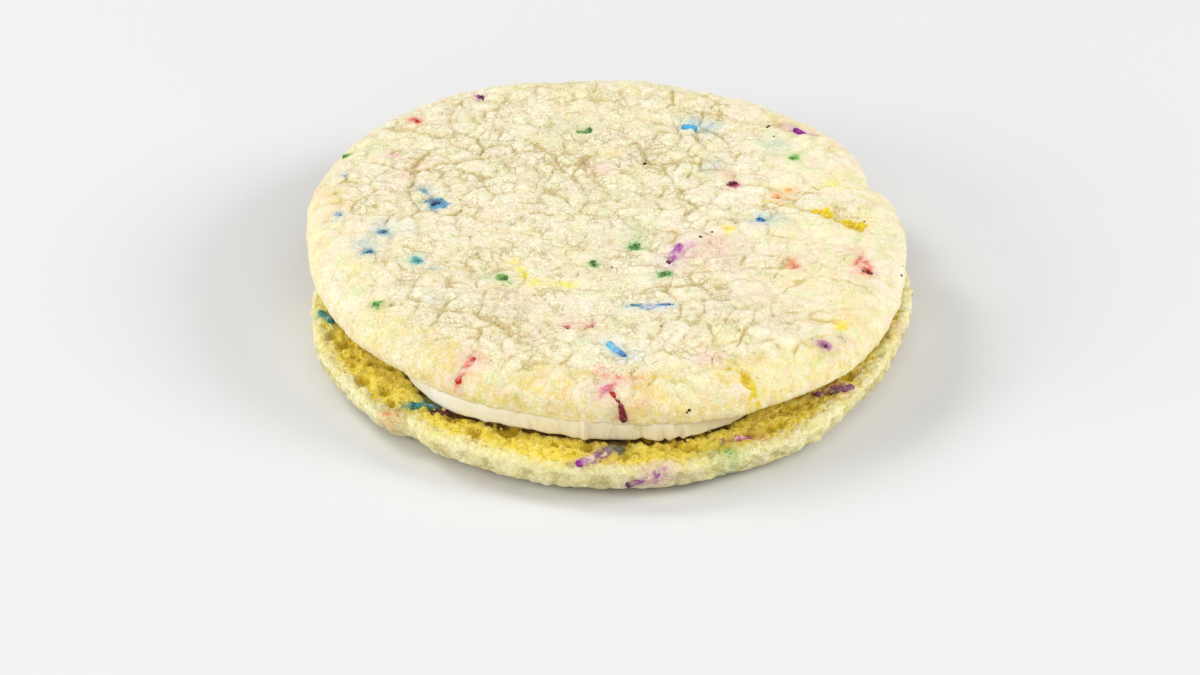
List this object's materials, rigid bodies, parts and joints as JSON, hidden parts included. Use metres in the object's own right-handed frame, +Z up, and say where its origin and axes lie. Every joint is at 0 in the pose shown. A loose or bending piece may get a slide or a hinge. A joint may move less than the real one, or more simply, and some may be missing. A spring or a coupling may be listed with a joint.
{
  "type": "buttercream sandwich cookie",
  "caption": "Soft sprinkle sugar cookies sandwiched flat base to flat base around ivory buttercream, crinkled face up, for food and bakery scenes",
  "frame": {"origin": "the middle of the bounding box in X and Y, on the surface that the lower cookie rests on", "axes": "+Z up through the stack; -Y is the side where the lower cookie and the cream show, which faces the viewer; +X to the viewer's right"},
  "size_m": [0.1034, 0.116, 0.0184],
  "materials": {
    "bottom_cookie": "matte baked crumb, golden on its flat base and pale at its rim, with dyed sugar rods",
    "buttercream": "smooth, soft sheen, ivory",
    "top_cookie": "matte crinkled pale crust with dyed sugar rods"
  },
  "bodies": {
    "root": {"bottom_cookie": "bottom_cookie", "buttercream": "buttercream", "top_cookie": "top_cookie"}
  },
  "joints": []
}
